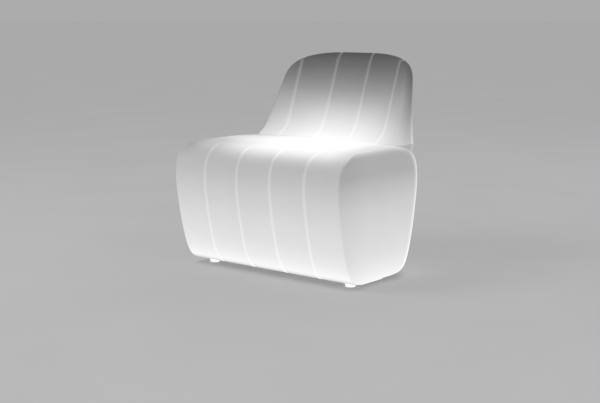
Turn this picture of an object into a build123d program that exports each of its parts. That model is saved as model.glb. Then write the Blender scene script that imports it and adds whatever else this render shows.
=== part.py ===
"""A lounge seat that lights up: one hollow moulding of white plastic, lit from inside by a battery lamp.

Millimetres, Z up, X across the seat, the front towards -Y. The origin is on the floor, in the middle of
the seat's outline.
"""
from build123d import *
import os
from math import asin, atan2, cos, exp, pi, radians, sin, sqrt, tan

os.makedirs("parts", exist_ok=True)

# Seat moulding, overall
seat_width = 725.0
seat_height = 441.0
overall_height = 741.0
wall = 6.0
ground_gap = 7.0
overrun = 10.0

# Seat block
block_depth = 556.0
top_round_height = 121.0
tuck = 148.0
front_round = 133.0
rear_round = 150.0
side_bottom_round = 27.0
side_top_round = 26.0
front_corner = 10.0
rear_corner = 130.0
rear_bow_radius = 900.0
# Height above the underside as a share of the bulge's, with the tuck there as a share of the whole
tuck_shares = [(0.0, 1.0), (0.042, 0.63), (0.098, 0.47), (0.159, 0.385), (0.22, 0.325), (0.308, 0.262),
               (0.449, 0.184), (0.589, 0.118), (0.729, 0.066), (0.883, 0.018), (1.0, 0.0)]
round_height_shares = (0.22, 0.42, 0.58, 0.70, 0.80, 0.88, 0.94, 0.975, 0.993, 1.0)
round_power = 2.8

# Backrest
back_thickness = 68.0
back_crest_thickness = 29.0
back_lean = 20.0
back_rear_inset = 31.0
back_hollow_radius = 775.0
back_side_inset = 36.0
back_taper = 11.75
back_root_depth = 106.0
back_heel_rise = 110.0
back_heel = 30.0
heel_power = 1.5
back_crest_round = 40.0
back_crown_height = 104.0
crown_power = 3.25
blend_reach = 120.0
blend_side_reach = 6.0
blend_drop = 11.0
blend_length = 15.0
blend_half_span = 36.0
blend_levels = 11
crown_shares = (0.0, 0.15, 0.35, 0.52, 0.66, 0.78, 0.87, 0.93, 0.97, 0.99, 0.997)

# Grooves between the five panels
panels = 5
groove_width = 11.0
groove_depth = 3.5
groove_start = 14.0

# Feet
foot_radius = 17.5
foot_tip_round = 6.0
foot_front_side_inset = 58.5
foot_front_overhang = 12.0
foot_rear_side_inset = 147.5
foot_rear_inset = 58.0
foot_socket_depth = 8.0
foot_gap = 0.2
foot_well_radius = 7.5
foot_well_depth = 5.0
foot_boss_margin = 6.0
foot_boss_height = 26.0
foot_washer_radius = 7.0
foot_washer_thickness = 1.2
foot_screw_radius = 2.5
foot_screw_head_radius = 4.6
foot_screw_head_height = 2.6
foot_screw_grip = 9.0
foot_insert_radius = 4.5
foot_insert_length = 12.0

# Screws and inserts
thread_gap = 0.05
insert_gap = 0.05
screw_gap = 0.3
seat_gap = 0.05
slot_width = 1.4
slot_depth_share = 0.45
slot_length_share = 0.62
head_round_share = 0.33
insert_waist_shares = (0.4, 0.6)

# Lamp recess in the underside
recess_depth = 34.0
recess_margin = 8.0
opening_gap = 3.0
tray_screw_margin = 11.0
tray_screw_count = 6
tray_boss_radius = 8.5
tray_boss_height = 16.0
tray_screw_radius = 2.5
tray_screw_head_radius = 4.75
tray_screw_head_height = 2.6
tray_screw_grip = 9.0
tray_insert_radius = 4.0
tray_insert_length = 12.0

# Lamp tray
flange_margin = 6.0
flange_thickness = 4.0
gasket_thickness = 2.0
gasket_margin = 2.0
tub_radius = 90.0
tub_wall = 3.0
tub_height = 56.0
rim_width = 11.0
rim_depth = 10.0

# Lamp
post_inset = 12.0
post_apart = 25.0
post_radius = 4.0
spreader_gap = 5.0
spreader_thickness = 3.0
spreader_height = 44.0
lamp_board_inset = 4.0
lamp_board_thickness = 1.6
chip_size = 5.0
chip_height = 1.6
chip_well_share = 0.4
chip_ring_counts = (6, 12)
chip_ring_radii = (24.0, 50.0)
small_screw_radius = 1.5
small_screw_head_radius = 2.75
small_screw_head_height = 1.8
small_screw_grip = 7.0
dome_thickness = 2.5
dome_flange_thickness = 3.0
dome_rise = 42.0
dome_screw_inset = 3.7
dome_screw_count = 6
seal_section_radius = 1.1
seal_margin = 2.7

# Battery
cell_radius = 9.2
cell_length = 65.0
cell_count = 3
cell_pitch = 20.0
cell_lift = 3.0
cell_middle = 30.0
cell_edge_round = 1.0
cradle_wall = 2.0
cradle_height = 12.0
cradle_end_gap = 0.8
contact_thickness = 0.6
contact_width = 9.0
contact_height = 18.0

# Control board
board_middle = -45.0
board_width = 80.0
board_depth = 46.0
board_thickness = 1.6
board_height = 18.0
board_post_radius = 3.5
board_post_inset = 5.0
board_chip_sizes = ((14.0, 14.0), (9.0, 6.0), (12.0, 8.0))
board_chip_across = (0.0, 16.0, -19.0)
board_chip_height = 1.5

# Button and switch
button_at = -22.0
button_radius = 8.0
button_proud = 2.5
button_round = 1.0
button_flange_radius = 10.5
button_flange_thickness = 1.5
button_travel = 2.0
button_gap = 0.1
plunger_radius = 2.0
plunger_entry = 2.55
plunger_gap = 0.08
switch_size = 12.0
switch_height = 10.0

# Charge socket and its cap
socket_at = 22.0
socket_radius = 6.5
socket_flange_radius = 8.5
socket_flange_thickness = 1.5
socket_gap = 0.2
jack_radius = 2.8
jack_depth = 12.0
jack_pin_radius = 1.05
jack_pin_set_back = 1.5
cap_radius = 9.5
cap_thickness = 2.2
cap_round_share = 0.33
cap_gap = 0.4
hinge_offset = 14.0
knuckle_radius = 2.4
knuckle_width = 7.0
ear_width = 3.0
ear_gap = 0.3
hinge_drop = 3.0
hinge_pin_radius = 1.0
hinge_pin_gap = 0.05

# Charge lamp lens and vent
lens_radius = 2.5
lens_flange_radius = 4.0
lens_flange_thickness = 1.0
lens_proud = 0.6
lens_gap = 0.1
vent_radius = 4.0
vent_head_radius = 6.0
vent_head_height = 1.6
vent_length = 9.0
vent_slot = 1.0
vent_across = 64.0
vent_along = -40.0

# Leads inside the tub
lead_radius = 0.9
lead_bend_share = 0.45
lead_rise = 9.4
lead_tail = 12.0
lead_hole_radius = 1.6
lead_hole_x = 16.0
lead_hole_y = -22.0
lamp_lead_x = 6.0
lamp_lead_y = -31.0
battery_lead_x = 24.0
battery_lead_y = -30.0
battery_lead_high = 13.4

underside = ground_gap
bulge_height = seat_height - top_round_height
block_front = -block_depth / 2
block_rear = block_depth / 2
back_front = block_rear - back_rear_inset - back_thickness
back_root_height = seat_height - back_root_depth
back_heel_height = seat_height + back_heel_rise
back_half_width = seat_width / 2 - back_side_inset


def disc(radius, bottom, top, x=0.0, y=0.0):
    """An upright cylinder between two heights."""
    height = top - bottom
    return Pos(x, y, bottom + height / 2) * Cylinder(radius, height)


def slab(size_x, size_y, bottom, top, x=0.0, y=0.0):
    """An upright box between two heights."""
    height = top - bottom
    return Pos(x, y, bottom + height / 2) * Box(size_x, size_y, height)


def ring_places(radius, count, start=0.0):
    """Points spread evenly on a circle."""
    turns = [start + 2 * pi * i / count for i in range(count)]
    return [(radius * cos(a), radius * sin(a)) for a in turns]


def side_inset(height, low, high):
    """How far the rounded lower and upper side edges draw in at a height."""
    inset = 0.0
    if height - low < side_bottom_round:
        rise = side_bottom_round - (height - low)
        inset = side_bottom_round - sqrt(max(0.0, side_bottom_round ** 2 - rise ** 2))
    if high - height < side_top_round:
        rise = side_top_round - (high - height)
        inset = side_top_round - sqrt(max(0.0, side_top_round ** 2 - rise ** 2))
    return inset


def block_section(height, front, rear, half, inset):
    """One level outline of the seat block: straight front and sides, round corners, bowed rear."""
    corner = front_corner - inset
    turn = rear_corner - inset
    bow = rear_bow_radius - inset
    bow_y = rear - bow
    turn_x = half - turn
    turn_y = bow_y + sqrt((bow - turn) ** 2 - turn_x ** 2)
    reach = bow / (bow - turn)
    meet_x = turn_x * reach
    meet_y = bow_y + (turn_y - bow_y) * reach
    middle = atan2(turn_y - bow_y, turn_x) / 2
    mid_x = turn_x + turn * cos(middle)
    mid_y = turn_y + turn * sin(middle)
    nook = corner - corner * sqrt(1 / 2)
    z = height
    return Wire([
        Line((corner - half, front, z), (half - corner, front, z)),
        ThreePointArc((half - corner, front, z), (half - nook, front + nook, z), (half, front + corner, z)),
        Line((half, front + corner, z), (half, turn_y, z)),
        ThreePointArc((half, turn_y, z), (mid_x, mid_y, z), (meet_x, meet_y, z)),
        ThreePointArc((meet_x, meet_y, z), (0, rear, z), (-meet_x, meet_y, z)),
        ThreePointArc((-meet_x, meet_y, z), (-mid_x, mid_y, z), (-half, turn_y, z)),
        Line((-half, turn_y, z), (-half, front + corner, z)),
        ThreePointArc((-half, front + corner, z), (nook - half, front + nook, z), (corner - half, front, z)),
    ])


def seat_block(inset):
    """The seat itself, drawn in by an inset all round."""
    low = underside + inset
    high = seat_height - inset
    levels = []
    for height_share, tuck_share in tuck_shares:
        levels.append((low + (bulge_height - low) * height_share, tuck * tuck_share, tuck * tuck_share))
    for share in round_height_shares:
        drawn = 1 - (1 - share ** round_power) ** (1 / round_power)
        levels.append((bulge_height + (high - bulge_height) * share, front_round * drawn, rear_round * drawn))
    sections = []
    for height, front_in, rear_in in levels:
        half = seat_width / 2 - inset - side_inset(height, low, high)
        front = block_front + inset + front_in
        rear = block_rear - inset - rear_in
        sections.append(block_section(height, front, rear, half, inset))
    return Solid.make_loft(sections)


def back_section(height, front, rear, half, inset):
    """One level outline of the backrest: two arcs about one centre, closed by round ends."""
    thickness = rear - front
    hollow = back_hollow_radius + inset
    outer = hollow + thickness
    middle = hollow + thickness / 2
    centre_y = front - hollow
    swing = asin((half - thickness / 2) / middle)

    def on_arc(radius, angle):
        return (radius * sin(angle), centre_y + radius * cos(angle), height)

    def end_point(side):
        x, y, z = on_arc(middle, side * swing)
        return (x + side * cos(swing) * thickness / 2, y - sin(swing) * thickness / 2, z)

    return Wire([
        ThreePointArc(on_arc(hollow, -swing), on_arc(hollow, 0), on_arc(hollow, swing)),
        ThreePointArc(on_arc(hollow, swing), end_point(1), on_arc(outer, swing)),
        ThreePointArc(on_arc(outer, swing), on_arc(outer, 0), on_arc(outer, -swing)),
        ThreePointArc(on_arc(outer, -swing), end_point(-1), on_arc(hollow, -swing)),
    ])


def back_levels(inset):
    """The heights at which the backrest is drawn, from its root in the seat to its crest."""
    high = overall_height - inset
    seat = seat_height - inset
    crown = high - back_crown_height
    blend_low = seat - blend_drop - blend_half_span
    blend_high = seat + blend_drop + blend_half_span
    levels = [back_root_height]
    for i in range(blend_levels):
        levels.append(blend_low + (blend_high - blend_low) * i / (blend_levels - 1))
    levels += [(blend_high + crown) / 2]
    levels += [crown + back_crown_height * share / crown_shares[-1] for share in crown_shares]
    return levels


def back_outline(height, inset):
    """Front, rear and half width of the backrest at a height."""
    high = overall_height - inset
    seat = seat_height - inset
    slope = tan(radians(back_lean))
    climb = (height - seat_height) / (overall_height - seat_height)
    thickness = back_thickness - (back_thickness - back_crest_thickness) * climb
    front = back_front + inset + slope * (height - seat_height)
    rear = front + thickness - 2 * inset
    half = back_half_width - inset - tan(radians(back_taper)) * max(0.0, height - seat_height)
    heel = max(0.0, (back_heel_height - height) / (back_heel_height - back_root_height))
    rear += back_heel * heel ** heel_power
    blend = 1 / (1 + exp((height - seat + blend_drop) / blend_length))
    front -= blend_reach * blend
    half += blend_side_reach * (1 - (1 - 2 * blend) ** 2)
    crown = (height - (high - back_crown_height)) / back_crown_height * crown_shares[-1]
    if crown > 0:
        half *= (1 - crown ** crown_power) ** (1 / crown_power)
    crest_round = back_crest_round - inset
    crest = (height - (high - crest_round)) / crest_round * crown_shares[-1]
    if crest > 0:
        draw = (rear - front) / 2 * (1 - sqrt(1 - crest ** 2))
        front += draw
        rear -= draw
    return front, rear, half


def backrest(inset):
    """The backrest, drawn in by an inset all round, with its root inside the seat."""
    sections = []
    for height in back_levels(inset):
        front, rear, half = back_outline(height, inset)
        sections.append(back_section(height, front, rear, half, inset))
    return Solid.make_loft(sections)


def plain_body(inset):
    return seat_block(inset) + backrest(inset)


def groove_slabs(width):
    """Upright slabs in the planes between the panels."""
    slabs = []
    for i in range(1, panels):
        x = (i - panels / 2) * seat_width / panels
        slabs.append(slab(width, 2 * block_depth, underside + groove_start, overall_height + overrun, x))
    return slabs


def groove_cutters():
    """What the grooves take away: each slab, but only as deep as the groove."""
    deep = plain_body(groove_depth)
    return [cut - deep for cut in groove_slabs(groove_width)]


def corners(across, front, rear_across, rear):
    """Two places near the front and two near the rear, left and right."""
    return [(-across, front), (across, front), (-rear_across, rear), (rear_across, rear)]


foot_places = corners(seat_width / 2 - foot_front_side_inset, block_front + tuck - foot_front_overhang,
                      seat_width / 2 - foot_rear_side_inset, block_rear - tuck - foot_rear_inset)
foot_boss_radius = foot_radius + foot_boss_margin

# Circles of the lamp tray and its recess, from the tub outwards
opening_radius = tub_radius + opening_gap
tray_screw_circle = opening_radius + tray_screw_margin
flange_radius = tray_screw_circle + flange_margin
recess_radius = flange_radius + recess_margin
tray_screw_places = ring_places(tray_screw_circle, tray_screw_count, pi / tray_screw_count)

# Circles of the lamp, from the tub inwards
dome_screw_circle = tub_radius - dome_screw_inset
dome_radius = tub_radius - rim_width
seal_circle = dome_radius + seal_margin
spreader_radius = dome_radius - spreader_gap
lamp_board_radius = spreader_radius - lamp_board_inset
post_across = lamp_board_radius - post_inset

# Heights of the lamp, from the recess upwards
recess_ceiling = underside + recess_depth
gasket_low = recess_ceiling - gasket_thickness
flange_low = gasket_low - flange_thickness
tray_floor = gasket_low
tub_top = flange_low + tub_height
spreader_low = tray_floor + spreader_height
lamp_board_low = spreader_low + spreader_thickness
lamp_board_top = lamp_board_low + lamp_board_thickness
board_low = tray_floor + board_height
board_top = board_low + board_thickness
dome_flange_top = tub_top + dome_flange_thickness


def cavity():
    """The hollow inside: it leaves the wall, the lamp recess and the screw bosses standing."""
    tall = recess_ceiling + tray_boss_height
    kept = [disc(recess_radius + wall, underside, recess_ceiling + wall)]
    kept += [disc(tray_boss_radius, underside, tall, x, y) for x, y in tray_screw_places]
    kept += [disc(foot_boss_radius, underside, underside + foot_boss_height, x, y) for x, y in foot_places]
    return plain_body(wall) - kept


def shell_holes():
    """The lamp recess, its opening, the foot sockets and the holes for the thread inserts."""
    low = underside - overrun
    socket_top = underside + foot_socket_depth
    holes = [disc(recess_radius, low, recess_ceiling)]
    holes.append(disc(opening_radius, recess_ceiling - overrun, recess_ceiling + wall + overrun))
    for x, y in tray_screw_places:
        top = recess_ceiling + tray_insert_length
        holes.append(disc(tray_insert_radius + insert_gap, recess_ceiling - overrun, top, x, y))
    for x, y in foot_places:
        holes.append(disc(foot_radius + foot_gap, low, socket_top, x, y))
        holes.append(disc(foot_insert_radius + insert_gap, low, socket_top + foot_insert_length, x, y))
    return holes


def body_shell():
    """The hollow moulding, cut from the full body."""
    return plain_body(0.0) - (groove_cutters() + [cavity()] + shell_holes())


def pan_screw(x, y, head_low, head_height, head_radius, shaft_radius, tip):
    """A pan-headed screw standing head down, with a cross slot."""
    head = disc(head_radius, head_low, head_low + head_height, x, y)
    head = fillet(head.edges().group_by(Axis.Z)[0], head_height * head_round_share)
    length = 2 * head_radius * slot_length_share
    slot_top = head_low + head_height * slot_depth_share
    head -= slab(length, slot_width, head_low - overrun, slot_top, x, y)
    head -= slab(slot_width, length, head_low - overrun, slot_top, x, y)
    return head + disc(shaft_radius, head_low + head_height / 2, tip, x, y)


def insert_ring(x, y, bottom, length, radius, bore):
    """A brass thread insert with a waist between its two knurled bands."""
    ring = disc(radius, bottom, bottom + length, x, y)
    waist_low, waist_high = [bottom + length * share for share in insert_waist_shares]
    waist = disc(radius + overrun, waist_low, waist_high, x, y)
    waist -= disc((radius + bore) / 2, bottom, bottom + length, x, y)
    ring -= waist
    return ring - disc(bore, bottom - overrun, bottom + length + overrun, x, y)


foot_socket_top = underside + foot_socket_depth


def foot(x, y):
    """A soft pad with a stepped hole for its washer and screw."""
    pad = disc(foot_radius, 0, foot_socket_top, x, y)
    pad = fillet(pad.edges().group_by(Axis.Z)[0], foot_tip_round)
    pad -= disc(foot_well_radius, -overrun, foot_well_depth, x, y)
    return pad - disc(foot_screw_radius + screw_gap, 0, foot_socket_top + overrun, x, y)


def foot_washer(x, y):
    ring = disc(foot_washer_radius, foot_well_depth - foot_washer_thickness, foot_well_depth, x, y)
    return ring - disc(foot_screw_radius + screw_gap, 0, foot_socket_top, x, y)


def foot_screw(x, y):
    head_low = foot_well_depth - foot_washer_thickness - foot_screw_head_height
    tip = foot_socket_top + foot_screw_grip
    return pan_screw(x, y, head_low, foot_screw_head_height, foot_screw_head_radius, foot_screw_radius, tip)


def foot_insert(x, y):
    bore = foot_screw_radius + thread_gap
    return insert_ring(x, y, foot_socket_top, foot_insert_length, foot_insert_radius, bore)


board_post_across = board_width / 2 - board_post_inset
board_post_apart = board_depth / 2 - board_post_inset
board_post_places = corners(board_post_across, board_middle - board_post_apart,
                            board_post_across, board_middle + board_post_apart)
post_places = corners(post_across, -post_apart, post_across, post_apart)
dome_screw_places = ring_places(dome_screw_circle, dome_screw_count, pi / dome_screw_count)
hinge_y = board_middle - hinge_offset
hinge_z = flange_low - hinge_drop
cap_top = flange_low - cap_gap
cap_low = cap_top - cap_thickness
small_bore = small_screw_radius + thread_gap


def cross_rod(radius, width, y, z, x=0.0):
    """A cylinder lying across the seat."""
    return Pos(x, y, z) * Rot(0, 90, 0) * Cylinder(radius, width)


def hinge_ears():
    """The two ears under the tray that hold the cap's pin."""
    ears = None
    for side in (-1, 1):
        x = socket_at + side * (knuckle_width / 2 + ear_gap + ear_width / 2)
        ear = cross_rod(knuckle_radius, ear_width, hinge_y, hinge_z, x)
        ear += slab(ear_width, 2 * knuckle_radius, hinge_z, flange_low + flange_thickness / 2, x, hinge_y)
        ears = ear if ears is None else ears + ear
    return ears


def seal_groove():
    """The groove in the rim for the dome's sealing ring."""
    half = seal_section_radius + seat_gap
    depth = 2 * seal_section_radius
    groove = disc(seal_circle + half, tub_top - depth, tub_top + overrun)
    return groove - disc(seal_circle - half, tub_top - depth - overrun, tub_top + 2 * overrun)


def light_tray():
    """The tub that holds lamp, battery and boards, with the flange that closes the underside."""
    tray = disc(flange_radius, flange_low, tray_floor) + disc(tub_radius, flange_low, tub_top)
    rim_low = tub_top - rim_depth
    tray -= disc(tub_radius - tub_wall, tray_floor, rim_low)
    tray -= disc(tub_radius - rim_width, rim_low - overrun, tub_top + overrun)
    tray -= seal_groove()
    for x, y in dome_screw_places:
        tray -= disc(small_bore, tub_top - small_screw_grip, tub_top + overrun, x, y)
    for x, y in board_post_places:
        tray += disc(board_post_radius, tray_floor - flange_thickness / 2, board_low, x, y)
        tray -= disc(small_bore, board_low - small_screw_grip, board_low + overrun, x, y)
    for x, y in tray_screw_places:
        tray -= disc(tray_screw_radius + screw_gap, flange_low - overrun, tray_floor + overrun, x, y)
    tray += hinge_ears()
    tray -= cross_rod(hinge_pin_radius + thread_gap, seat_width, hinge_y, hinge_z)
    low = flange_low - overrun
    high = tray_floor + overrun
    tray -= disc(button_radius + button_gap, low, high, button_at, board_middle)
    tray -= disc(socket_radius + socket_gap, low, high, socket_at, board_middle)
    tray -= disc(lens_radius + lens_gap, low, high, 0, board_middle)
    tray -= disc(vent_radius + thread_gap, low, high, -vent_across, vent_along)
    return tray


def tray_gasket():
    ring = disc(flange_radius - gasket_margin, gasket_low, recess_ceiling)
    ring -= disc(opening_radius + gasket_margin, gasket_low - overrun, recess_ceiling + overrun)
    for x, y in tray_screw_places:
        ring -= disc(tray_screw_radius + screw_gap, gasket_low - overrun, recess_ceiling + overrun, x, y)
    return ring


def tray_screw(x, y):
    head_low = flange_low - tray_screw_head_height
    tip = recess_ceiling + tray_screw_grip
    return pan_screw(x, y, head_low, tray_screw_head_height, tray_screw_head_radius, tray_screw_radius, tip)


def tray_insert(x, y):
    bore = tray_screw_radius + thread_gap
    return insert_ring(x, y, recess_ceiling, tray_insert_length, tray_insert_radius, bore)


def upright_screw(x, y, seat, tip):
    """A small screw standing head up on a seat."""
    head = disc(small_screw_head_radius, seat, seat + small_screw_head_height, x, y)
    head = fillet(head.edges().group_by(Axis.Z)[-1], small_screw_head_height * head_round_share)
    slot_low = seat + small_screw_head_height * (1 - slot_depth_share)
    length = 2 * small_screw_head_radius * slot_length_share
    head -= slab(length, slot_width / 2, slot_low, seat + small_screw_head_height + overrun, x, y)
    head -= slab(slot_width / 2, length, slot_low, seat + small_screw_head_height + overrun, x, y)
    return head + disc(small_screw_radius, tip, seat + small_screw_head_height / 2, x, y)


def diffuser_dome():
    """The opal dome: a flat flange and a low crown of even thickness."""
    flange = disc(tub_radius, tub_top, dome_flange_top)
    inner_radius = dome_radius - dome_thickness
    crown = dome_cap(dome_radius, dome_rise) - dome_cap(inner_radius, dome_rise - dome_thickness)
    flange -= disc(inner_radius, tub_top - overrun, dome_flange_top + overrun)
    dome = flange + crown
    for x, y in dome_screw_places:
        dome -= disc(small_screw_radius + screw_gap, tub_top - overrun, dome_flange_top + overrun, x, y)
    return dome


def dome_cap(radius, rise):
    """A round cap of a sphere that stands on the dome's flange level."""
    ball = (radius ** 2 + rise ** 2) / (2 * rise)
    cap = Pos(0, 0, tub_top + rise - ball) * Sphere(ball)
    return cap & disc(radius, tub_top, tub_top + rise + overrun)


def dome_seal():
    middle = tub_top - seal_section_radius
    return Pos(0, 0, middle) * Torus(seal_circle, seal_section_radius - seat_gap)


def heat_spreader():
    plate = disc(spreader_radius, spreader_low, lamp_board_low)
    for x, y in post_places:
        plate -= disc(small_screw_radius + screw_gap, spreader_low - overrun, lamp_board_low + overrun, x, y)
    return plate - lead_hole(spreader_low, lamp_board_low)


def spreader_post(x, y):
    post = disc(post_radius, tray_floor, spreader_low, x, y)
    return post - disc(small_bore, spreader_low - small_screw_grip, spreader_low + overrun, x, y)


def lead_hole(low, high):
    return disc(lead_hole_radius, low - overrun, high + overrun, lead_hole_x, lead_hole_y)


def led_board():
    plate = disc(lamp_board_radius, lamp_board_low, lamp_board_top)
    hole = small_screw_radius + screw_gap
    for x, y in post_places:
        plate -= disc(hole, lamp_board_low - overrun, lamp_board_top + overrun, x, y)
    return plate - lead_hole(lamp_board_low, lamp_board_top)


def led_chip(x, y):
    chip = slab(chip_size, chip_size, lamp_board_top, lamp_board_top + chip_height, x, y)
    well_low = lamp_board_top + chip_height / 2
    return chip - disc(chip_size * chip_well_share, well_low, well_low + overrun, x, y)


def chip_places():
    places = []
    for radius, count in zip(chip_ring_radii, chip_ring_counts):
        places += ring_places(radius, count, pi / count)
    return places


cell_axis = tray_floor + cell_lift + cell_radius
cell_rows = [cell_middle + cell_pitch * (i - (cell_count - 1) / 2) for i in range(cell_count)]
cradle_length = cell_length + 2 * (cradle_end_gap + contact_thickness + cradle_wall)
cradle_depth = cell_pitch * cell_count + cradle_wall


def battery_cell(y):
    """A round cell lying across the tub."""
    cell = cross_rod(cell_radius, cell_length, y, cell_axis)
    return fillet(cell.edges(), cell_edge_round)


def battery_holder():
    """An open cradle with a round bed under each cell."""
    holder = slab(cradle_length, cradle_depth, tray_floor, tray_floor + cradle_height, 0, cell_middle)
    bed = cell_length + 2 * (cradle_end_gap + contact_thickness)
    for y in cell_rows:
        holder -= cross_rod(cell_radius + seat_gap, bed, y, cell_axis)
    return holder


def battery_contact(side, y):
    """A thin plate that stands in the cradle between a cell's end and the cradle's wall."""
    x = side * (cradle_length / 2 - cradle_wall - contact_thickness / 2 - seat_gap)
    low = cell_axis - cell_radius / 2
    return slab(contact_thickness, contact_width, low, low + contact_height, x, y)


def control_board():
    plate = slab(board_width, board_depth, board_low, board_top, 0, board_middle)
    for x, y in board_post_places:
        plate -= disc(small_screw_radius + screw_gap, board_low - overrun, board_top + overrun, x, y)
    return plate


def control_chips():
    chips = []
    for (size_x, size_y), x in zip(board_chip_sizes, board_chip_across):
        chips.append(slab(size_x, size_y, board_top, board_top + board_chip_height, x, board_middle))
    return chips


button_flange_low = tray_floor + seat_gap
button_flange_top = button_flange_low + button_flange_thickness
button_low = flange_low - button_proud
switch_low = board_low - switch_height
plunger_top = switch_low + plunger_entry


def power_button():
    """The round button with the flange that keeps it in its hole."""
    knob = disc(button_radius, button_low, button_flange_top, button_at, board_middle)
    knob = fillet(knob.edges().group_by(Axis.Z)[0], button_round)
    return knob + disc(button_flange_radius, button_flange_low, button_flange_top, button_at, board_middle)


def switch_plunger():
    return disc(plunger_radius, button_flange_top, plunger_top, button_at, board_middle)


def power_switch():
    """The switch under the board, with a bore for its plunger."""
    case = slab(switch_size, switch_size, switch_low, board_low, button_at, board_middle)
    room = plunger_top + button_travel + button_gap
    return case - disc(plunger_radius + plunger_gap, switch_low - overrun, room, button_at, board_middle)


def charge_socket():
    """The round charging jack, fixed to the board and open downwards."""
    barrel = disc(socket_radius, flange_low, board_low, socket_at, board_middle)
    rest_top = tray_floor + socket_flange_thickness
    barrel += disc(socket_flange_radius, tray_floor, rest_top, socket_at, board_middle)
    return barrel - disc(jack_radius, flange_low - overrun, flange_low + jack_depth, socket_at, board_middle)


def socket_pin():
    low = flange_low + jack_pin_set_back
    pin = disc(jack_pin_radius, low, flange_low + jack_depth, socket_at, board_middle)
    return fillet(pin.edges().group_by(Axis.Z)[0], jack_pin_radius / 2)


def charge_cap():
    """The hinged cap: a round lid, a neck and the knuckle round the pin."""
    lid = disc(cap_radius, cap_low, cap_top, socket_at, board_middle)
    lid = fillet(lid.edges().group_by(Axis.Z)[0], cap_thickness * cap_round_share)
    neck_middle = (hinge_y + board_middle) / 2
    lid += slab(knuckle_width, board_middle - hinge_y, cap_low, cap_top, socket_at, neck_middle)
    lid += cross_rod(knuckle_radius, knuckle_width, hinge_y, hinge_z, socket_at)
    return lid - cross_rod(hinge_pin_radius + hinge_pin_gap, seat_width, hinge_y, hinge_z)


def cap_hinge_pin():
    length = knuckle_width + 2 * (ear_gap + ear_width)
    return cross_rod(hinge_pin_radius, length, hinge_y, hinge_z, socket_at)


def status_lens():
    """The clear pipe that carries the charge lamp's light through the tray."""
    rod = disc(lens_radius, flange_low - lens_proud, board_low, 0, board_middle)
    flange_top = tray_floor + lens_flange_thickness
    return rod + disc(lens_flange_radius, tray_floor, flange_top, 0, board_middle)


def breather_vent():
    """A screwed-in plug with a slot across its head."""
    x = -vent_across
    head_low = flange_low - vent_head_height
    plug = disc(vent_head_radius, head_low, flange_low, x, vent_along)
    plug += disc(vent_radius, head_low, flange_low + vent_length, x, vent_along)
    slot_top = head_low + vent_head_height / 2
    return plug - slab(2 * vent_head_radius, vent_slot, head_low - overrun, slot_top, x, vent_along)


def lead(name, points):
    """A lead along straight runs joined by tangent arcs, each as large as its two runs allow."""
    runs = [(b - a).length for a, b in zip(points, points[1:])]
    radii = []
    for i in range(1, len(points) - 1):
        turn = radians((points[i] - points[i - 1]).get_angle(points[i + 1] - points[i]))
        radii.append(lead_bend_share * min(runs[i - 1], runs[i]) / tan(turn / 2))
    path = FilletPolyline(*points, radius=radii)
    section = Plane(path @ 0, z_dir=path % 0) * Circle(lead_radius)
    tube = sweep(section, path=path)
    share = tube.volume / (pi * lead_radius ** 2 * path.length)
    print(name, "radii", [round(r, 1) for r in radii])
    print(name, "volume as a share of section times length", round(share, 4))
    return tube


def lamp_lead():
    """From the control board up through the spreader to the lamp board."""
    return lead("lamp_lead", [
        Vector(lamp_lead_x, lamp_lead_y, board_top),
        Vector(lamp_lead_x, lamp_lead_y, board_top + lead_rise),
        Vector(lead_hole_x, lead_hole_y, spreader_low - lead_rise + lead_radius),
        Vector(lead_hole_x, lead_hole_y, lamp_board_top),
    ])


def battery_lead(name, side):
    """From the end contact of the front cell over to the control board."""
    contact_x = cradle_length / 2 - cradle_wall - contact_thickness / 2 - seat_gap
    contact_top = cell_axis - cell_radius / 2 + contact_height
    front_row = cell_rows[0]
    over_x = (contact_x + battery_lead_x) / 2
    over_y = (front_row + battery_lead_y) / 2 + lead_radius
    return lead(name, [
        Vector(side * contact_x, front_row, contact_top),
        Vector(side * contact_x, front_row, contact_top + lead_rise),
        Vector(side * over_x, over_y, contact_top + battery_lead_high),
        Vector(side * battery_lead_x, battery_lead_y, board_top + lead_tail),
        Vector(side * battery_lead_x, battery_lead_y, board_top),
    ])


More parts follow.
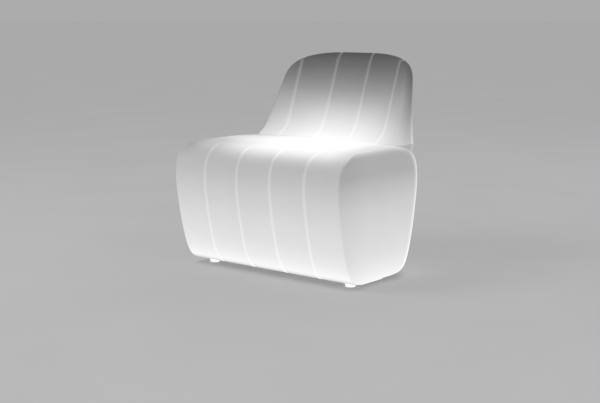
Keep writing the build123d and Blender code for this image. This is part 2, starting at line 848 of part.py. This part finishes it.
def all_nodes():
    """Each node's name with its solids, in the seat block's own frame."""
    nodes = {"body_shell": [body_shell()]}
    names = ["foot_front_left", "foot_front_right", "foot_rear_left", "foot_rear_right"]
    for name, (x, y) in zip(names, foot_places):
        nodes[name] = [foot(x, y)]
    nodes["foot_washers"] = [foot_washer(x, y) for x, y in foot_places]
    nodes["foot_screws"] = [foot_screw(x, y) for x, y in foot_places]
    nodes["foot_inserts"] = [foot_insert(x, y) for x, y in foot_places]
    nodes["light_tray"] = [light_tray()]
    nodes["tray_gasket"] = [tray_gasket()]
    nodes["tray_screws"] = [tray_screw(x, y) for x, y in tray_screw_places]
    nodes["tray_inserts"] = [tray_insert(x, y) for x, y in tray_screw_places]
    nodes["diffuser_dome"] = [diffuser_dome()]
    nodes["dome_seal"] = [dome_seal()]
    dome_tip = tub_top - small_screw_grip
    nodes["dome_screws"] = [upright_screw(x, y, dome_flange_top, dome_tip) for x, y in dome_screw_places]
    nodes["heat_spreader"] = [heat_spreader()]
    nodes["spreader_posts"] = [spreader_post(x, y) for x, y in post_places]
    nodes["led_board"] = [led_board()]
    nodes["led_chips"] = [led_chip(x, y) for x, y in chip_places()]
    lamp_tip = spreader_low - small_screw_grip
    nodes["led_board_screws"] = [upright_screw(x, y, lamp_board_top, lamp_tip) for x, y in post_places]
    nodes["battery_cells"] = [battery_cell(y) for y in cell_rows]
    nodes["battery_holder"] = [battery_holder()]
    nodes["battery_contacts"] = [battery_contact(side, y) for y in cell_rows for side in (-1, 1)]
    nodes["control_board"] = [control_board()]
    nodes["control_chips"] = control_chips()
    board_tip = board_low - small_screw_grip
    nodes["control_board_screws"] = [upright_screw(x, y, board_top, board_tip) for x, y in board_post_places]
    nodes["power_switch"] = [power_switch()]
    nodes["switch_plunger"] = [switch_plunger()]
    nodes["power_button"] = [power_button()]
    nodes["charge_socket"] = [charge_socket()]
    nodes["socket_pin"] = [socket_pin()]
    nodes["charge_cap"] = [charge_cap()]
    nodes["cap_hinge_pin"] = [cap_hinge_pin()]
    nodes["status_lens"] = [status_lens()]
    nodes["breather_vent"] = [breather_vent()]
    nodes["lamp_lead"] = [lamp_lead()]
    nodes["battery_lead_red"] = [battery_lead("battery_lead_red", 1)]
    nodes["battery_lead_black"] = [battery_lead("battery_lead_black", -1)]
    return nodes


def main():
    nodes = all_nodes()
    outline = nodes["body_shell"][0].bounding_box()
    middle = outline.center().Y
    print("origin moved back by", round(middle, 3), "size", outline.size)
    for name, solids in nodes.items():
        placed = [Pos(0, -middle, 0) * solid for solid in solids]
        shape = placed[0] if len(placed) == 1 else Compound(children=placed)
        export_step(shape, f"parts/{name}.step")


main()
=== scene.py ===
"""The light-up seat dressed for a studio view: a glowing white moulding, its lamp tray and its fittings.

Metres, in the frame of the CAD model: X across the seat, the front towards -Y, Z up from the floor.
"""
import bpy
from math import radians, tan
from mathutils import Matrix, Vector


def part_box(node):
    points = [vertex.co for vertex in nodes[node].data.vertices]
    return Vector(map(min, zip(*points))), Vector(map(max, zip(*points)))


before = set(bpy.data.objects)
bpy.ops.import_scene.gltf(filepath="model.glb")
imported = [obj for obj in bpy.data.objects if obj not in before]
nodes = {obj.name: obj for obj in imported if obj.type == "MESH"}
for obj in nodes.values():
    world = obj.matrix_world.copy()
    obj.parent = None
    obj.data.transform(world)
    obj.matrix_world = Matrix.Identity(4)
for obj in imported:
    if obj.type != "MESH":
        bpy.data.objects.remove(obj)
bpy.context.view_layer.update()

# Camera
camera_place = (2.46857, -3.05031, 0.86532)
camera_down = 9.1972
camera_turn = 39.4212
camera_lens = 68.08
camera_sensor = 36.0

# Studio: an even sky, a wide pale floor and three soft lamps, each with its place, width and watts
floor_size = 400.0
floor_tone = 0.50
floor_roughness = 0.85
sky_level = 0.80
backdrop_level = 0.41
lamp_aim = (0.0, 0.0, 0.35)
lamps = {
    "key": ((-2.2, -3.4, 3.4), 2.6, 40.0),
    "fill": ((3.6, -1.2, 2.8), 2.4, 15.0),
    "rear": ((0.6, 3.4, 3.0), 4.0, 8.0),
}

# Form of the moulding, which its glow follows: a level seat, and a hollow backrest that leans back
shell_low, shell_high = [Vector(corner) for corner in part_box("body_shell")]
tray_low, tray_high = [Vector(corner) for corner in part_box("light_tray")]
panels = 5
panel_pitch = (shell_high.x - shell_low.x) / panels
half_width = (shell_high.x - shell_low.x) / 2
crest = shell_high.z
seat_top = 0.441
groove_half_width = 0.0060
groove_edge = 0.0004
back_front = 0.1628
back_slope = tan(radians(20.0))
back_hollow = 0.775
back_thickness = 0.068
crest_thickness = 0.029
lamp_middle = -0.0162

# The Mix node's sockets for numbers and for colours: its share and two inputs, then its output
mix_sockets = {"FLOAT": ((0, 2, 3), 0), "RGBA": ((0, 6, 7), 2)}
# The part of a noise's range over which it turns from one value to the other
noise_span = (0.35, 0.65)


def paint(name):
    """A new material with its node tree and its shader."""
    material = bpy.data.materials.new(name)
    material.use_nodes = True
    tree = material.node_tree
    return material, tree, tree.nodes["Principled BSDF"]


def node(tree, kind, **settings):
    made = tree.nodes.new("ShaderNode" + kind)
    for key, value in settings.items():
        setattr(made, key, value)
    return made


def feed(tree, socket, value):
    """Sets a socket to a number or colour, or links another node's output to it."""
    if isinstance(value, (int, float)):
        socket.default_value = value
    elif isinstance(value, tuple):
        socket.default_value = (*value, 1.0) if len(value) == 3 and socket.type == "RGBA" else value
    else:
        tree.links.new(value, socket)


def calc(tree, operation, first, second=0.0):
    """A sum, product or other Math step."""
    made = node(tree, "Math", operation=operation)
    feed(tree, made.inputs[0], first)
    feed(tree, made.inputs[1], second)
    return made.outputs[0]


def plus(tree, first, second):
    return calc(tree, "ADD", first, second)


def minus(tree, first, second):
    return calc(tree, "SUBTRACT", first, second)


def times(tree, first, second):
    return calc(tree, "MULTIPLY", first, second)


def below(tree, value, limit):
    """1 where the value is under the limit, else 0."""
    return calc(tree, "LESS_THAN", value, limit)


def absolute(tree, value):
    return calc(tree, "ABSOLUTE", value)


def distance(tree, first, second):
    """The distance to a place that is first across and second along."""
    squares = plus(tree, times(tree, first, first), times(tree, second, second))
    return calc(tree, "SQRT", squares)


def parts_of(tree, vector):
    """The X, Y and Z of a place or a direction."""
    split = node(tree, "SeparateXYZ")
    tree.links.new(vector, split.inputs[0])
    return split.outputs


def spot_parts(tree):
    """The X, Y and Z of the place on the object, in metres."""
    return parts_of(tree, node(tree, "TexCoord").outputs["Object"])


def mix(tree, kind, *values):
    """A share between two numbers or two colours."""
    made = node(tree, "Mix", data_type=kind)
    inputs, output = mix_sockets[kind]
    for i, value in zip(inputs, values):
        feed(tree, made.inputs[i], value)
    return made.outputs[output]


def blend(tree, share, first, second):
    """First where the share is 0, second where it is 1."""
    return mix(tree, "FLOAT", share, first, second)


def blend_colour(tree, share, first, second):
    """The same for two colours."""
    return mix(tree, "RGBA", share, first, second)


def step(tree, value, low, high, smooth=True):
    """0 below the low value, 1 above the high one; the two may be given the other way round."""
    made = node(tree, "MapRange", interpolation_type="SMOOTHSTEP" if smooth else "LINEAR")
    falls = low > high
    feed(tree, made.inputs["Value"], value)
    made.inputs["From Min"].default_value = min(low, high)
    made.inputs["From Max"].default_value = max(low, high)
    made.inputs["To Min"].default_value = 1.0 if falls else 0.0
    made.inputs["To Max"].default_value = 0.0 if falls else 1.0
    return made.outputs["Result"]


def curve(tree, value, points):
    """A level read from a few points, joined by straight lines."""
    low, high = points[0][0], points[-1][0]
    made = node(tree, "ValToRGB")
    made.color_ramp.interpolation = "LINEAR"
    elements = made.color_ramp.elements
    while len(elements) < len(points):
        elements.new(1.0)
    for element, (spot, level) in zip(elements, points):
        element.position = (spot - low) / (high - low)
        element.color = (level, level, level, 1.0)
    share = calc(tree, "DIVIDE", minus(tree, value, low), high - low)
    tree.links.new(share, made.inputs["Fac"])
    return made.outputs["Color"]


def place(tree, centre=(0.0, 0.0, 0.0), stretch=(1.0, 1.0, 1.0)):
    """Object coordinates, measured from a centre and stretched."""
    made = node(tree, "Mapping")
    made.vector_type = "POINT"
    made.inputs["Location"].default_value = [-c * s for c, s in zip(centre, stretch)]
    made.inputs["Scale"].default_value = stretch
    tree.links.new(node(tree, "TexCoord").outputs["Object"], made.inputs["Vector"])
    return made.outputs["Vector"]


def noise(tree, cycles, detail=3.0, stretch=(1.0, 1.0, 1.0)):
    """Cloudy noise, in cycles per metre."""
    made = node(tree, "TexNoise")
    made.inputs["Scale"].default_value = cycles
    made.inputs["Detail"].default_value = detail
    tree.links.new(place(tree, stretch=stretch), made.inputs["Vector"])
    return made.outputs["Fac"]


def pits(tree, cycles):
    """The cell pattern of a spark-eroded or cast mould."""
    made = node(tree, "TexVoronoi", feature="SMOOTH_F1")
    made.inputs["Scale"].default_value = cycles
    tree.links.new(place(tree), made.inputs["Vector"])
    return made.outputs["Distance"]


def raise_by(tree, shader, pattern, height):
    """Relief from a pattern, with its height in metres."""
    bump = node(tree, "Bump")
    bump.inputs["Distance"].default_value = height
    tree.links.new(pattern, bump.inputs["Height"])
    tree.links.new(bump.outputs["Normal"], shader.inputs["Normal"])


def tint(tree, shader, colour, spread, cycles, stretch=(1.0, 1.0, 1.0)):
    """The base colour, a little darker and lighter in patches."""
    dark = tuple(c * (1 - spread) for c in colour)
    light = tuple(min(1.0, c * (1 + spread)) for c in colour)
    share = step(tree, noise(tree, cycles, stretch=stretch), *noise_span)
    mixed = blend_colour(tree, share, dark, light)
    tree.links.new(mixed, shader.inputs["Base Color"])
    return mixed


def roughen(tree, shader, low, high, cycles, stretch=(1.0, 1.0, 1.0)):
    """Roughness that wanders between two values."""
    share = step(tree, noise(tree, cycles, 4.0, stretch), *noise_span)
    tree.links.new(blend(tree, share, low, high), shader.inputs["Roughness"])


def set_values(shader, **values):
    """Constant values on the shader's own sockets, named with underscores for spaces."""
    for name, value in values.items():
        shader.inputs[name.replace("_", " ")].default_value = value


def dress(material, *names):
    """Puts a material on every slot of CAD nodes."""
    for name in names:
        mesh = nodes[name].data
        if not mesh.materials:
            mesh.materials.append(material)
        for i in range(len(mesh.materials)):
            mesh.materials[i] = material


# The lamp's light as it leaves the moulding. A list gives places in metres, each with its level there.
# A pair says where a step begins and where it ends: places in metres, or parts of the normal.
# On the upright walls and the backrest, by height
front_glow = [(0.00, 1.10), (0.02, 0.97), (0.04, 0.89), (0.08, 0.77), (0.13, 0.69), (0.20, 0.63),
              (0.30, 0.52), (0.34, 0.46), (0.38, 0.41), (0.42, 0.36)]
side_glow = [(0.00, 1.10), (0.02, 0.88), (0.05, 0.78), (0.10, 0.68), (0.20, 0.60), (0.26, 0.545),
             (0.32, 0.455), (0.37, 0.36), (0.42, 0.35)]
back_glow = [(0.44, 0.93), (0.47, 0.80), (0.53, 0.55), (0.57, 0.37), (0.61, 0.23), (0.65, 0.145),
             (0.69, 0.075), (0.74, 0.01)]
rear_glow = [(0.4, 0.46), (0.44, 0.46), (0.5, 0.35), (0.54, 0.25), (0.58, 0.18), (0.62, 0.12),
             (0.66, 0.07), (0.74, 0.0)]
# On the seat, by the distance across from the brightest line; then that line's start, its slant, and its
# further slant in front of the origin. Beside the lamp the light reaches further to the low X side: how
# far in front of the origin, how wide and how much.
seat_glow = [(-0.42, 0.28), (-0.36, 0.42), (-0.29, 0.50), (-0.21, 0.71), (-0.13, 0.86), (-0.05, 0.91),
             (0.10, 0.91), (0.19, 0.86), (0.25, 0.67), (0.33, 0.52)]
seat_line_start = 0.027
seat_line_slant = -0.15
seat_line_front_slant = -0.09
reach_middle = 0.03
reach_width = 0.17
reach_gain = 0.28
# Low on the backrest, the share that is left at a distance across from the middle
back_spread = [(-0.36, 0.53), (-0.28, 0.71), (-0.2, 0.85), (-0.1, 0.97), (0.0, 1.0), (0.1, 0.97),
               (0.18, 0.89), (0.24, 0.80), (0.3, 0.65), (0.36, 0.5)]
spread_heights = (0.62, 0.52)
# How far the light of the backrest's rear takes over, by the depth from its front (0) to its rear (1),
# and the depths up to which a place at seat height still belongs to the seat
back_wrap = [(0.06, 0.0), (0.2, 0.35), (0.4, 0.8), (0.55, 1.0)]
front_half = (0.5, 0.3)

# The hidden faces: the seat beside the backrest's ends, the underside with its lip, the lamp's recess
ledge_glow = 0.55
ledge_span = (0.17, 0.24)
under_glow = 0.55
under_turn = (-0.6, -0.95)
lip_height = 0.0165
lip_inset = 0.03
lip_reach = 0.15
recess_glow = 0.38
recess_margin = 0.012
recess_height = 0.1
recess_mouth = (shell_low.z + 0.0005, shell_low.z + 0.001)

# The side walls: where they begin, how they fade towards the front, and the painted highlight that the
# low X one has more
side_width = (half_width - 0.011, half_width - 0.001)
side_fade = 0.3
side_fade_start = -0.15
left_painted_highlight = 0.08
# Painted highlights, for bright rims at the edges: what the rear wall has more, and the upright corners
# beside it, and the backrest's rear edge
rear_painted_highlight = 0.10
rear_turn = (0.35, 0.7)
corner_painted_highlight = 0.26
corner_turn_back = (0.15, 0.55)
corner_turn_side = (0.5, 0.72)
rim_painted_highlight = 0.13
rim_depth = (0.6, 0.85)
rim_turn = (0.85, 0.6)

# The rounded edges, where the walls' light turns into the seat's, and the seam of seat and backrest
edge_turn = (0.3, 1.0)
edge_power = 2.3
side_turn_later = 0.06
at_seat_top = (seat_top - 0.0002, seat_top + 0.0001)
seam = (seat_top + 0.0003, seat_top + 0.0025)

# The grooves' own light: less of it on a bright wall, none where the wall is white anyway, and none at
# the outer panels' far ends
groove_glow = 0.10
groove_gain = -0.055
groove_fade = (1.0, 0.72)
outer_panels = (2.0 * panel_pitch, 1.9 * panel_pitch)
# How far a groove on the seat's rounded front edge has turned upwards, by its height
groove_turn = [(0.39, 0.0), (0.4, 0.08), (0.412, 0.34), (0.42, 0.58), (0.428, 0.8), (0.436, 1.0)]

# The feet, by their height
foot_glow = [(0.0, 0.75), (0.004, 0.9), (0.009, 1.0)]
# The pale ring on the cells: its place from their ends, and the fade at its edges
ring_inset = 0.009
ring_edge = (0.0032, 0.0028)


def groove_share(tree, x):
    """1 inside the four grooves between the panels."""
    turns = plus(tree, calc(tree, "DIVIDE", x, panel_pitch), 0.5)
    away = times(tree, calc(tree, "PINGPONG", turns, 0.5), panel_pitch)
    inside = step(tree, away, groove_half_width + groove_edge, groove_half_width - groove_edge, False)
    between = step(tree, absolute(tree, x), *outer_panels, False)
    return times(tree, inside, between)


def back_depth(tree, x, y, z):
    """Where a point lies between the backrest's hollow front, at 0, and its rear, at 1."""
    climb = minus(tree, z, seat_top)
    front = plus(tree, times(tree, climb, back_slope), back_front - back_hollow)
    depth = minus(tree, distance(tree, x, minus(tree, y, front)), back_hollow)
    thinning = (back_thickness - crest_thickness) / (crest - seat_top)
    thickness = minus(tree, back_thickness, times(tree, climb, thinning))
    return calc(tree, "DIVIDE", depth, thickness)


def recess_share(tree, x, y, z):
    """1 on the wall of the round recess that holds the lamp."""
    centre = (tray_low + tray_high) / 2
    radius = (tray_high.x - tray_low.x) / 2
    away = distance(tree, minus(tree, x, centre.x), minus(tree, y, centre.y))
    inside = below(tree, away, radius + recess_margin)
    inside = times(tree, inside, below(tree, z, recess_height))
    return times(tree, inside, step(tree, z, *recess_mouth))


def under_share(tree, x, y, z, facing):
    """1 on the underside and on the small upright lip round its flat."""
    lip = times(tree, below(tree, z, lip_height), below(tree, absolute(tree, x), half_width - lip_inset))
    lip = times(tree, lip, below(tree, absolute(tree, y), lip_reach))
    return calc(tree, "MAXIMUM", step(tree, facing["Z"], *under_turn), lip)


def wall_glow_and_painted_rims(tree, x, y, z, facing):
    """The light of the upright walls: front, sides, rear and the corners between them, with painted
    highlights on the low X side, the rear walls and the corners.
    """
    forward = calc(tree, "MAXIMUM", minus(tree, side_fade_start, y), 0.0)
    side = minus(tree, curve(tree, z, side_glow), times(tree, forward, side_fade))
    # Painted highlight: the low X side wall made brighter, for a bright rim along its edge
    side = plus(tree, side, times(tree, below(tree, x, 0.0), left_painted_highlight))
    on_side = step(tree, absolute(tree, x), *side_width)
    walls = blend(tree, on_side, curve(tree, z, front_glow), side)
    # Painted highlight: the walls that face the rear made brighter
    walls = plus(tree, walls, times(tree, step(tree, facing["Y"], *rear_turn), rear_painted_highlight))
    # Painted highlight: the upright corners between the sides and the rear made brighter, a bright rim
    turning = times(tree, step(tree, facing["Y"], *corner_turn_back),
                    step(tree, absolute(tree, facing["X"]), *corner_turn_side))
    return plus(tree, walls, times(tree, turning, corner_painted_highlight))


def seat_top_glow(tree, x, y):
    """The light of the level seat, which is brightest over the lamp."""
    middle = plus(tree, times(tree, y, seat_line_slant), seat_line_start)
    forward = calc(tree, "MINIMUM", y, 0.0)
    middle = plus(tree, times(tree, forward, seat_line_front_slant), middle)
    aside = minus(tree, x, middle)
    near_lamp = absolute(tree, plus(tree, y, reach_middle))
    drawn_in = times(tree, step(tree, near_lamp, reach_width, 0.0), reach_gain)
    aside = minus(tree, aside, times(tree, calc(tree, "MINIMUM", aside, 0.0), drawn_in))
    return blend(tree, step(tree, y, *ledge_span), curve(tree, aside, seat_glow), ledge_glow)


def backrest_glow_and_painted_rim(tree, x, z, depth, facing):
    """The light of the backrest, from its front over its rim to its rear, with a painted highlight along
    its rear edge.
    """
    spread = blend(tree, step(tree, z, *spread_heights), 1.0, curve(tree, x, back_spread))
    front = times(tree, curve(tree, z, back_glow), spread)
    back = blend(tree, curve(tree, depth, back_wrap), front, curve(tree, z, rear_glow))
    # Painted highlight: a bright rim along the backrest's rear edge
    rim = times(tree, step(tree, depth, *rim_depth), step(tree, facing["Y"], *rim_turn))
    return plus(tree, back, times(tree, rim, rim_painted_highlight))


def moulding_glow_and_painted_rims(tree):
    """The light that leaves the moulding, by its place on it, with painted highlights as bright rims at
    its edges.
    """
    x, y, z = spot_parts(tree)
    facing = parts_of(tree, node(tree, "NewGeometry").outputs["Normal"])
    depth = back_depth(tree, x, y, z)
    in_front = step(tree, depth, *front_half)
    in_groove = groove_share(tree, x)

    upward = minus(tree, facing["Z"], times(tree, absolute(tree, facing["X"]), side_turn_later))
    turned = calc(tree, "POWER", step(tree, upward, *edge_turn, False), edge_power)
    turned = calc(tree, "MAXIMUM", turned, times(tree, step(tree, z, *at_seat_top), in_front))
    turned = blend(tree, in_groove, turned, times(tree, curve(tree, z, groove_turn), in_front))
    block = blend(tree, turned, wall_glow_and_painted_rims(tree, x, y, z, facing), seat_top_glow(tree, x, y))

    total = blend(tree, step(tree, z, *seam), block, backrest_glow_and_painted_rim(tree, x, z, depth, facing))
    total = blend(tree, under_share(tree, x, y, z, facing), total, under_glow)
    total = blend(tree, recess_share(tree, x, y, z), total, recess_glow)
    extra = plus(tree, times(tree, total, groove_gain), groove_glow)
    extra = times(tree, extra, step(tree, total, *groove_fade))
    return plus(tree, total, times(tree, in_groove, extra))


def lit_plastic():
    """Translucent white plastic, satin from the mould, with the lamp's light coming through and painted
    highlights along its edges.
    """
    material, tree, shader = paint("lit_plastic")
    tint(tree, shader, (0.085, 0.085, 0.084), spread=0.05, cycles=4.0)
    roughen(tree, shader, 0.42, 0.50, cycles=25.0)
    raise_by(tree, shader, noise(tree, 700.0, detail=2.0), height=0.00003)
    set_values(shader, Emission_Color=(1.0, 1.0, 1.0, 1.0), Specular_IOR_Level=0.15,
               Sheen_Weight=0.2, Sheen_Roughness=0.12)
    cloud = blend(tree, step(tree, noise(tree, 9.0, detail=2.0), 0.3, 0.7), 0.992, 1.008)
    tree.links.new(times(tree, moulding_glow_and_painted_rims(tree), cloud), shader.inputs["Emission Strength"])
    return material


def foot_silicone():
    """Clear white silicone that passes the moulding's light on, dimmer towards the floor."""
    material, tree, shader = paint("foot_silicone")
    tint(tree, shader, (0.20, 0.20, 0.195), spread=0.06, cycles=60.0)
    roughen(tree, shader, 0.35, 0.5, cycles=150.0)
    raise_by(tree, shader, noise(tree, 900.0, detail=2.0), height=0.00003)
    glow = curve(tree, spot_parts(tree)["Z"], foot_glow)
    set_values(shader, Emission_Color=(1.0, 1.0, 1.0, 1.0), Specular_IOR_Level=0.4)
    tree.links.new(glow, shader.inputs["Emission Strength"])
    return material


def metal(name, colour, rough, cycles, stretch):
    """Drawn, turned or plated metal with fine lines along one way."""
    material, tree, shader = paint(name)
    set_values(shader, Metallic=1.0)
    tint(tree, shader, colour, spread=0.06, cycles=cycles, stretch=stretch)
    roughen(tree, shader, *rough, cycles=cycles, stretch=stretch)
    raise_by(tree, shader, noise(tree, cycles * 2, detail=2.0, stretch=stretch), height=0.00001)
    return material


def turned_aluminium():
    """A plate faced on a lathe, with rings about the lamp's middle."""
    material, tree, shader = paint("turned_aluminium")
    set_values(shader, Metallic=1.0)
    tint(tree, shader, (0.74, 0.75, 0.76), spread=0.05, cycles=80.0)
    rings = node(tree, "TexWave", wave_type="RINGS", rings_direction="Z")
    rings.inputs["Scale"].default_value = 320.0
    rings.inputs["Distortion"].default_value = 0.2
    tree.links.new(place(tree, (0.0, lamp_middle, 0.0)), rings.inputs["Vector"])
    tree.links.new(blend(tree, rings.outputs["Fac"], 0.26, 0.4), shader.inputs["Roughness"])
    raise_by(tree, shader, rings.outputs["Fac"], height=0.00001)
    return material


def moulded(name, colour, spread=0.05, rough=(0.45, 0.6), cycles=1100.0, height=0.00004, coat=0.0):
    """Injection-moulded plastic with the fine pitted skin of its tool."""
    material, tree, shader = paint(name)
    tint(tree, shader, colour, spread=spread, cycles=45.0)
    roughen(tree, shader, *rough, cycles=120.0)
    raise_by(tree, shader, pits(tree, cycles), height=height)
    set_values(shader, Coat_Weight=coat, Coat_Roughness=0.15)
    return material


def rubber(name, colour, rough=(0.68, 0.85), sheen=0.15):
    """Matte rubber with a dusty bloom and fine specks."""
    material, tree, shader = paint(name)
    tint(tree, shader, colour, spread=0.25, cycles=90.0)
    roughen(tree, shader, *rough, cycles=200.0)
    raise_by(tree, shader, noise(tree, 1500.0, detail=3.0), height=0.00005)
    set_values(shader, Sheen_Weight=sheen, Sheen_Roughness=0.5)
    return material


def opal_plastic():
    """The lamp's opal dome: smooth, bright, a little dimmer towards its flange."""
    material, tree, shader = paint("opal_plastic")
    tint(tree, shader, (0.84, 0.84, 0.82), spread=0.02, cycles=30.0)
    roughen(tree, shader, 0.22, 0.32, cycles=60.0)
    raise_by(tree, shader, noise(tree, 300.0, detail=2.0), height=0.00002)
    low, high = [Vector(corner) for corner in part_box("diffuser_dome")]
    glow = curve(tree, spot_parts(tree)["Z"], [(low.z, 0.35), (low.z + 0.006, 0.75), (high.z, 1.0)])
    set_values(shader, Emission_Color=(1.0, 0.99, 0.96, 1.0))
    tree.links.new(glow, shader.inputs["Emission Strength"])
    return material


def clear_plastic():
    """A clear light pipe with a faint green charge light in it."""
    material, tree, shader = paint("clear_plastic")
    tint(tree, shader, (0.80, 0.90, 0.84), spread=0.03, cycles=200.0)
    roughen(tree, shader, 0.06, 0.14, cycles=300.0)
    raise_by(tree, shader, noise(tree, 800.0, detail=2.0), height=0.00001)
    set_values(shader, Transmission_Weight=0.6, IOR=1.49, Emission_Color=(0.35, 1.0, 0.5, 1.0),
               Emission_Strength=0.35)
    return material


def lamp_board_white():
    """White solder resist with pale rings of track under it."""
    material, tree, shader = paint("lamp_board_white")
    rings = node(tree, "TexWave", wave_type="RINGS", rings_direction="Z")
    rings.inputs["Scale"].default_value = 25.0
    tree.links.new(place(tree, (0.0, lamp_middle, 0.0)), rings.inputs["Vector"])
    share = step(tree, rings.outputs["Fac"], 0.7, 0.8)
    mixed = blend_colour(tree, share, (0.84, 0.85, 0.84), (0.78, 0.79, 0.77))
    tree.links.new(mixed, shader.inputs["Base Color"])
    roughen(tree, shader, 0.28, 0.38, cycles=150.0)
    raise_by(tree, shader, share, height=0.00003)
    return material


def phosphor():
    """The yellow phosphor of the lamp chips, alight."""
    material, tree, shader = paint("phosphor")
    tint(tree, shader, (0.90, 0.78, 0.30), spread=0.08, cycles=900.0)
    roughen(tree, shader, 0.3, 0.45, cycles=900.0)
    raise_by(tree, shader, noise(tree, 2500.0, detail=2.0), height=0.00002)
    set_values(shader, Emission_Color=(1.0, 0.95, 0.8, 1.0), Emission_Strength=1.5)
    return material


def circuit_green():
    """Green solder resist over a grid of tracks."""
    material, tree, shader = paint("circuit_green")
    tracks = node(tree, "TexBrick")
    tracks.inputs["Scale"].default_value = 260.0
    tracks.inputs["Mortar Size"].default_value = 0.06
    tree.links.new(place(tree), tracks.inputs["Vector"])
    mixed = blend_colour(tree, tracks.outputs["Fac"], (0.030, 0.17, 0.075), (0.055, 0.27, 0.13))
    tree.links.new(mixed, shader.inputs["Base Color"])
    roughen(tree, shader, 0.25, 0.4, cycles=200.0)
    raise_by(tree, shader, tracks.outputs["Fac"], height=0.00003)
    return material


def cell_sleeve():
    """Blue shrunk film on the cells, with a pale ring near the left ends."""
    material, tree, shader = paint("cell_sleeve")
    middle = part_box("battery_cells")[0][0] + ring_inset
    away = absolute(tree, minus(tree, spot_parts(tree)["X"], middle))
    ring = step(tree, away, *ring_edge)
    film = tint(tree, shader, (0.045, 0.15, 0.38), spread=0.12, cycles=70.0)
    tree.links.new(blend_colour(tree, ring, film, (0.75, 0.76, 0.74)), shader.inputs["Base Color"])
    roughen(tree, shader, 0.22, 0.36, cycles=120.0)
    raise_by(tree, shader, noise(tree, 160.0, detail=2.0, stretch=(0.3, 1.0, 1.0)), height=0.00012)
    return material


def dress_all():
    steel = metal("screw_steel", (0.62, 0.62, 0.61), rough=(0.26, 0.38), cycles=900.0,
                  stretch=(1.0, 1.0, 0.2))
    brass = metal("insert_brass", (0.78, 0.58, 0.29), rough=(0.28, 0.42), cycles=1200.0,
                  stretch=(1.0, 1.0, 0.15))
    nickel = metal("nickel_plate", (0.70, 0.68, 0.64), rough=(0.16, 0.28), cycles=700.0,
                   stretch=(1.0, 1.0, 1.0))
    dress(lit_plastic(), "body_shell")
    dress(foot_silicone(), "foot_front_left", "foot_front_right", "foot_rear_left", "foot_rear_right")
    dress(steel, "foot_washers", "foot_screws", "tray_screws", "dome_screws", "led_board_screws",
          "control_board_screws", "cap_hinge_pin")
    dress(brass, "foot_inserts", "tray_inserts", "spreader_posts")
    dress(nickel, "battery_contacts", "socket_pin")
    dress(moulded("tray_plastic", (0.66, 0.66, 0.65), spread=0.015), "light_tray")
    dress(moulded("button_plastic", (0.80, 0.80, 0.78), spread=0.04, rough=(0.3, 0.42), cycles=1600.0,
                  height=0.00002, coat=0.2),
          "power_button", "switch_plunger")
    dress(moulded("black_plastic", (0.035, 0.035, 0.038), spread=0.2, rough=(0.35, 0.5), cycles=1600.0,
                  height=0.00003),
          "battery_holder", "power_switch", "charge_socket", "breather_vent", "control_chips")
    dress(moulded("red_insulation", (0.55, 0.03, 0.025), spread=0.1, rough=(0.35, 0.5), cycles=900.0,
                  height=0.00002),
          "battery_lead_red")
    dress(moulded("black_insulation", (0.028, 0.028, 0.03), spread=0.2, rough=(0.35, 0.5), cycles=900.0,
                  height=0.00002),
          "battery_lead_black", "lamp_lead")
    dress(rubber("seal_rubber", (0.045, 0.045, 0.045)), "tray_gasket", "dome_seal")
    dress(rubber("cap_rubber", (0.085, 0.085, 0.09)), "charge_cap")
    dress(opal_plastic(), "diffuser_dome")
    dress(clear_plastic(), "status_lens")
    dress(turned_aluminium(), "heat_spreader")
    dress(lamp_board_white(), "led_board")
    dress(phosphor(), "led_chips")
    dress(circuit_green(), "control_board")
    dress(cell_sleeve(), "battery_cells")


def floor():
    """A wide pale floor with the faint mottle of sealed concrete."""
    bpy.ops.mesh.primitive_plane_add(size=floor_size)
    made = bpy.context.object
    made.name = "floor"
    material, tree, shader = paint("pale_floor")
    tint(tree, shader, (floor_tone,) * 3, 0.01, 2.0)
    set_values(shader, Roughness=floor_roughness, Specular_IOR_Level=0.0)
    made.data.materials.append(material)


def sky():
    """An even sky, seen behind the floor at the floor's own tone."""
    world = bpy.data.worlds.new("studio")
    world.use_nodes = True
    tree = world.node_tree
    background = tree.nodes["Background"]
    background.inputs["Color"].default_value = (1.0, 1.0, 1.0, 1.0)
    rays = node(tree, "LightPath")
    seen = rays.outputs["Is Camera Ray"]
    for other in ("Is Transmission Ray", "Is Glossy Ray"):
        seen = calc(tree, "MAXIMUM", seen, rays.outputs[other])
    tree.links.new(blend(tree, seen, sky_level, backdrop_level), background.inputs["Strength"])
    bpy.context.scene.world = world


def soft_lamps():
    for name, (spot, width, watts) in lamps.items():
        light = bpy.data.lights.new(name, "AREA")
        light.shape = "DISK"
        light.size = width
        light.energy = watts
        lamp = bpy.data.objects.new(name, light)
        lamp.location = spot
        aim = Vector(lamp_aim) - Vector(spot)
        lamp.rotation_euler = aim.to_track_quat("-Z", "Y").to_euler()
        bpy.context.scene.collection.objects.link(lamp)


def camera():
    data = bpy.data.cameras.new("camera")
    data.lens = camera_lens
    data.sensor_width = camera_sensor
    made = bpy.data.objects.new("camera", data)
    made.location = camera_place
    made.rotation_euler = (radians(90 - camera_down), 0, radians(camera_turn))
    bpy.context.scene.collection.objects.link(made)
    bpy.context.scene.camera = made


camera()
dress_all()
floor()
sky()
soft_lamps()
bpy.context.scene.view_settings.view_transform = "Standard"
